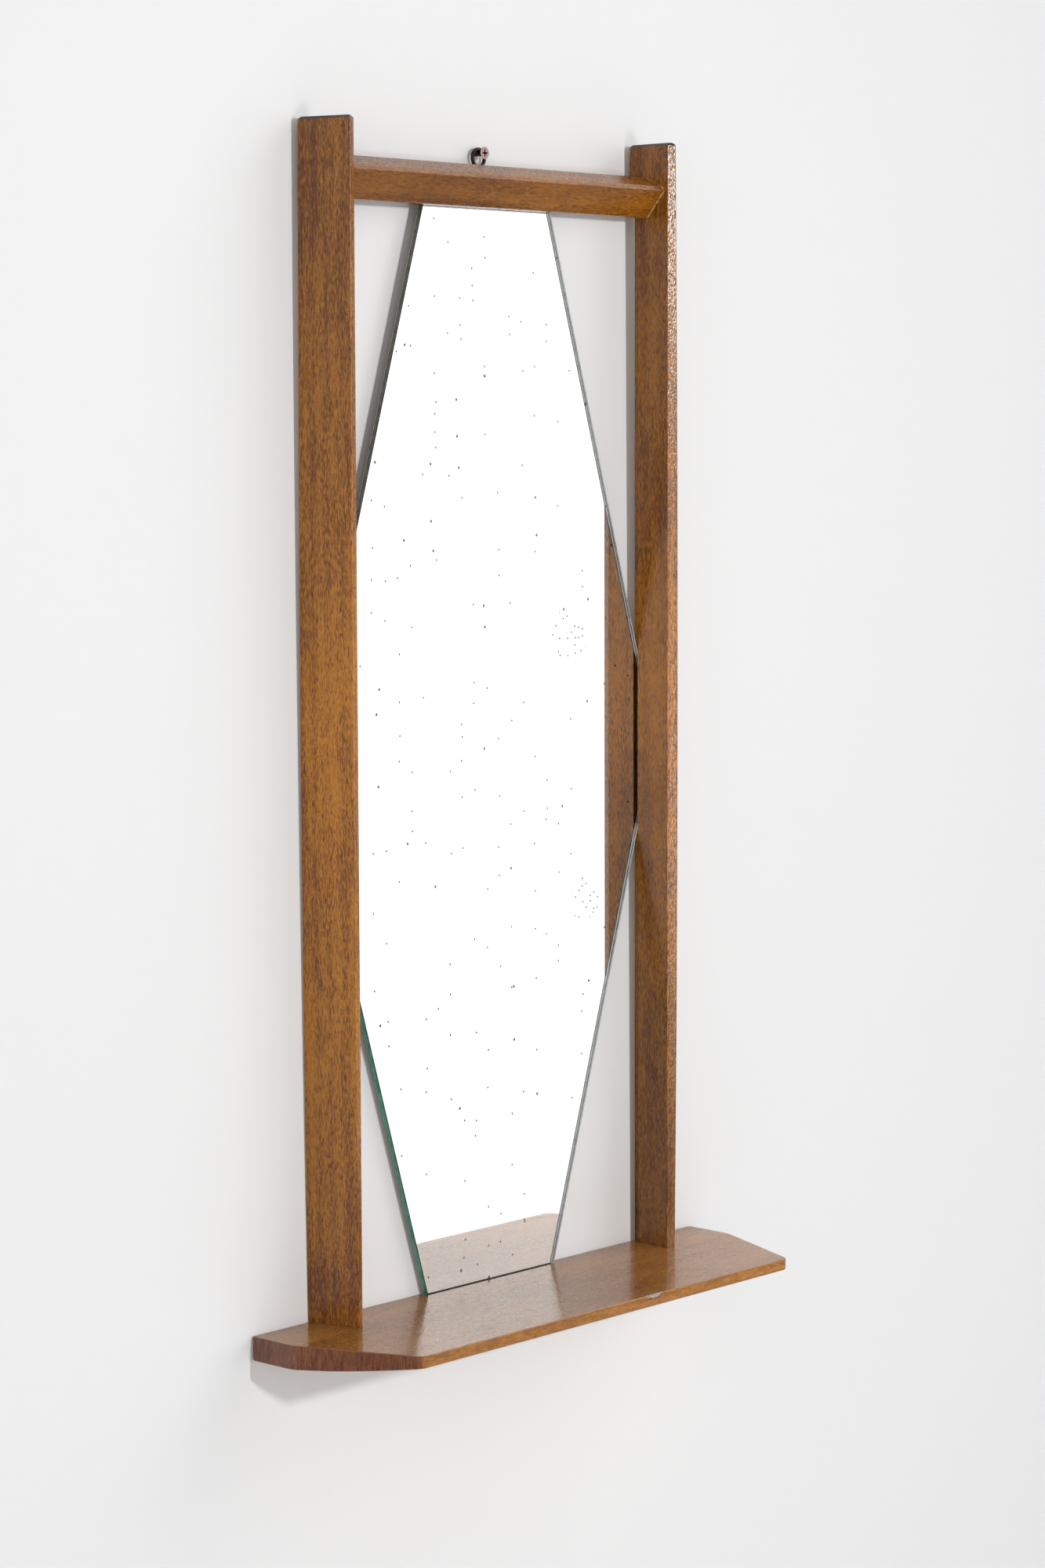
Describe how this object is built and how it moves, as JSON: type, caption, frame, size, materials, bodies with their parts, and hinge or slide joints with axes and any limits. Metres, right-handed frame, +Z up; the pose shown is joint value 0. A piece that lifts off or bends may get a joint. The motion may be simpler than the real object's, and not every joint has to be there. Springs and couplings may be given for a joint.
{
  "type": "wall mirror with shelf",
  "caption": "Tall wall mirror: glass with long slanting edges, held between tapered wooden posts that stand on a shelf with cut-back ends, under a top rail with a hanging eye.",
  "frame": {"origin": "hanging point: the hanging screw's axis where it leaves the wall, 6.6 mm behind the frame's back plane", "axes": "+X to the viewer's right along the shelf, +Y into the wall along the hanging screw, +Z up along the posts"},
  "size_m": [0.566, 0.1986, 1.0204],
  "materials": {
    "stained_wood": "stained and waxed to a satin sheen",
    "bare_wood": "unfinished",
    "mirror_glass": "silvered glass with ground edges",
    "plain_steel": "plain",
    "bronzed_steel": "dark bronzed",
    "burnished_steel": "burnished"
  },
  "bodies": {
    "root": {"left_post": "stained_wood", "right_post": "stained_wood", "top_rail": "stained_wood", "shelf": "stained_wood", "mirror_glass": "mirror_glass", "left_bead": "bare_wood", "right_bead": "bare_wood", "top_bead": "bare_wood", "bottom_bead": "bare_wood", "bead_pins": "plain_steel", "rail_dowels": "bare_wood", "shelf_screws": "plain_steel", "hanging_eye": "bronzed_steel", "eye_screws": "plain_steel", "hanging_screw": "burnished_steel"}
  },
  "joints": []
}
